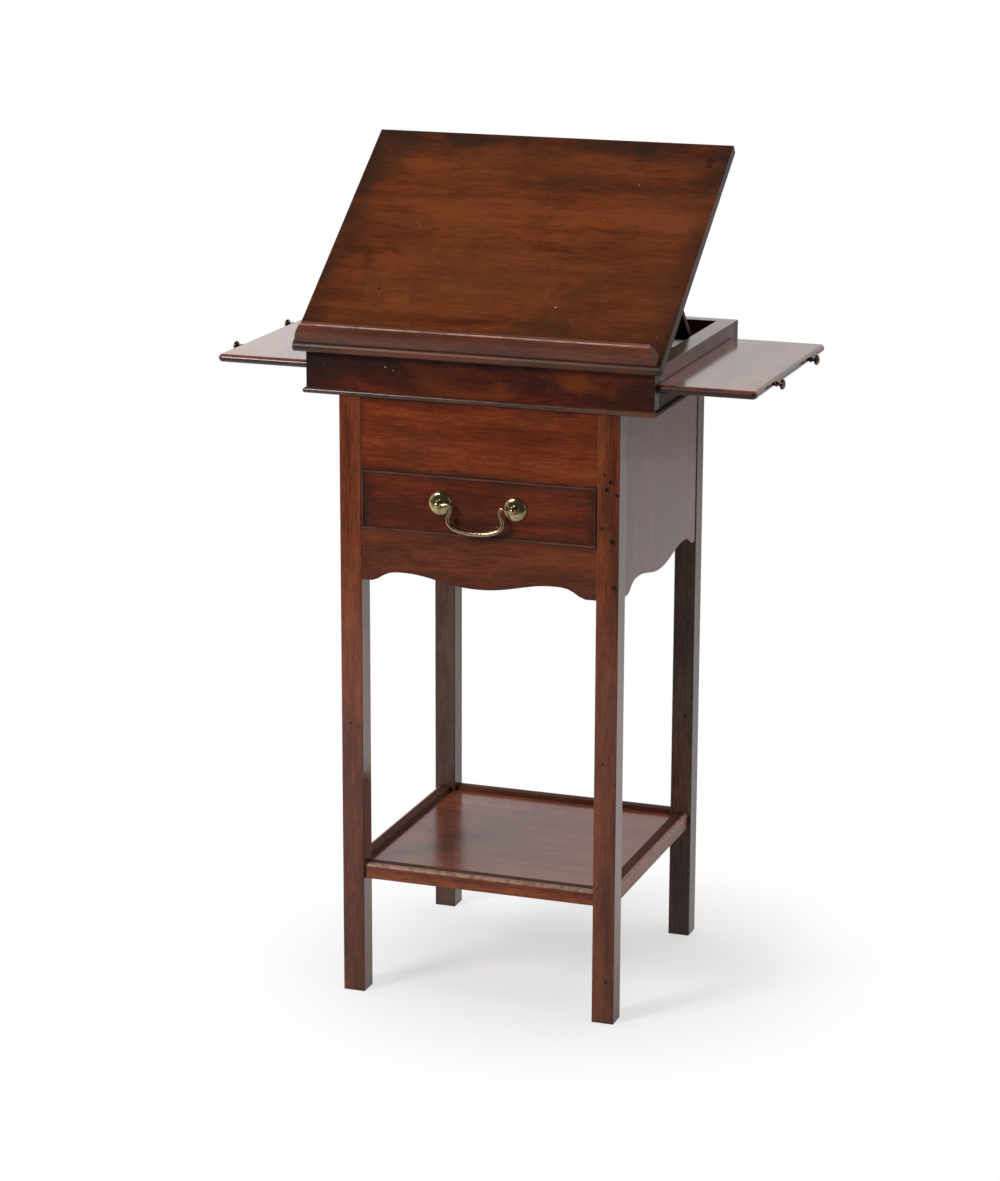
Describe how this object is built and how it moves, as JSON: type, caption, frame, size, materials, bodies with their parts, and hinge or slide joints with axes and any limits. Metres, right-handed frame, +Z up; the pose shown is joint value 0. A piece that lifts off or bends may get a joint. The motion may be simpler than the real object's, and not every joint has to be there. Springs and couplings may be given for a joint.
{
  "type": "artist table",
  "caption": "Square-legged wooden table whose top box carries a hinged easel slope with a book ledge, pull-out side slides, a drawer with a swan-neck bail and a low shelf.",
  "frame": {"origin": "on the floor, midway between the four feet", "axes": "+Z up, front (drawer and book ledge) towards -Y, +X to the right seen from the front"},
  "size_m": [0.6948, 0.3767, 1.0314],
  "materials": {
    "mahogany": "polished",
    "mahogany_light": "polished",
    "mahogany_dark": "polished",
    "oak": "plain",
    "brass": "polished",
    "brass_dark": "dull"
  },
  "bodies": {
    "base": {"leg_front_left": "mahogany", "leg_front_right": "mahogany", "leg_back_left": "mahogany", "leg_back_right": "mahogany", "front_panel": "mahogany_light", "front_apron": "mahogany_light", "side_panel_left": "mahogany", "side_panel_right": "mahogany", "back_panel": "mahogany", "drawer_runners": "oak", "drawer_guides": "oak", "drawer_kickers": "oak", "drawer_stops": "oak", "shelf_rail_front": "mahogany", "shelf_rail_back": "mahogany", "shelf_rail_left": "mahogany", "shelf_rail_right": "mahogany", "shelf_board": "mahogany_light", "box_front": "mahogany", "box_back": "mahogany", "box_side_left": "mahogany", "box_side_right": "mahogany", "box_bottom": "oak", "moulding_front": "mahogany_dark", "moulding_left": "mahogany_dark", "moulding_right": "mahogany_dark", "well_floor": "mahogany_dark", "ratchet_left": "mahogany_dark", "ratchet_right": "mahogany_dark", "slide_bearers": "oak", "slide_divider": "oak", "box_hinge_leaves": "brass_dark", "lid_hinge_pins": "brass_dark", "box_hinge_screws": "brass_dark"},
    "drawer": {"drawer_front": "mahogany", "drawer_side_left": "oak", "drawer_side_right": "oak", "drawer_back": "oak", "drawer_bottom": "oak", "cock_bead_long": "mahogany_light", "cock_bead_short": "mahogany_light", "handle_roses": "brass", "handle_posts": "brass", "handle_nuts": "brass_dark"},
    "drawer_bail": {"handle_bail": "brass"},
    "slide_left": {"slide_left": "mahogany", "slide_knobs_left": "brass_dark", "slide_stop_left": "oak"},
    "slide_right": {"slide_right": "mahogany", "slide_knobs_right": "brass_dark", "slide_stop_right": "oak"},
    "slope": {"slope_board": "mahogany_light", "book_ledge": "mahogany_dark", "lid_hinge_leaves": "brass_dark", "lid_screws": "brass_dark"},
    "strut": {"strut_stiles": "mahogany_dark", "strut_rails": "mahogany_dark", "strut_hinge_leaves": "brass_dark", "strut_hinge_pins": "brass_dark", "strut_screws": "brass_dark"}
  },
  "joints": [
    {"name": "slope_hinge", "type": "hinge", "parent": "base", "child": "slope", "pos_m": [0, -0.1795, 0.8065], "axis": [1, 0, 0], "range_deg": [-36.7, 5]},
    {"name": "strut_hinge", "type": "hinge", "parent": "slope", "child": "strut", "pos_m": [0, -0.03678, 0.91288], "axis": [1, 0, 0], "range_deg": [-11.5, 82]},
    {"name": "drawer_slide", "type": "slide", "parent": "base", "child": "drawer", "axis": [0, -1, 0], "range_m": [0, 0.25]},
    {"name": "bail_hinge", "type": "hinge", "parent": "drawer", "child": "drawer_bail", "pos_m": [0, -0.1845, 0.6292], "axis": [-1, 0, 0], "range_deg": [-8, 85]},
    {"name": "slide_left_pull", "type": "slide", "parent": "base", "child": "slide_left", "axis": [-1, 0, 0], "range_m": [-0.1185, 0]},
    {"name": "slide_right_pull", "type": "slide", "parent": "base", "child": "slide_right", "axis": [1, 0, 0], "range_m": [-0.1185, 0]}
  ],
  "couplings": [
    {"joint": "strut_hinge", "follows": "slope_hinge", "ratio": -2.2343}
  ]
}
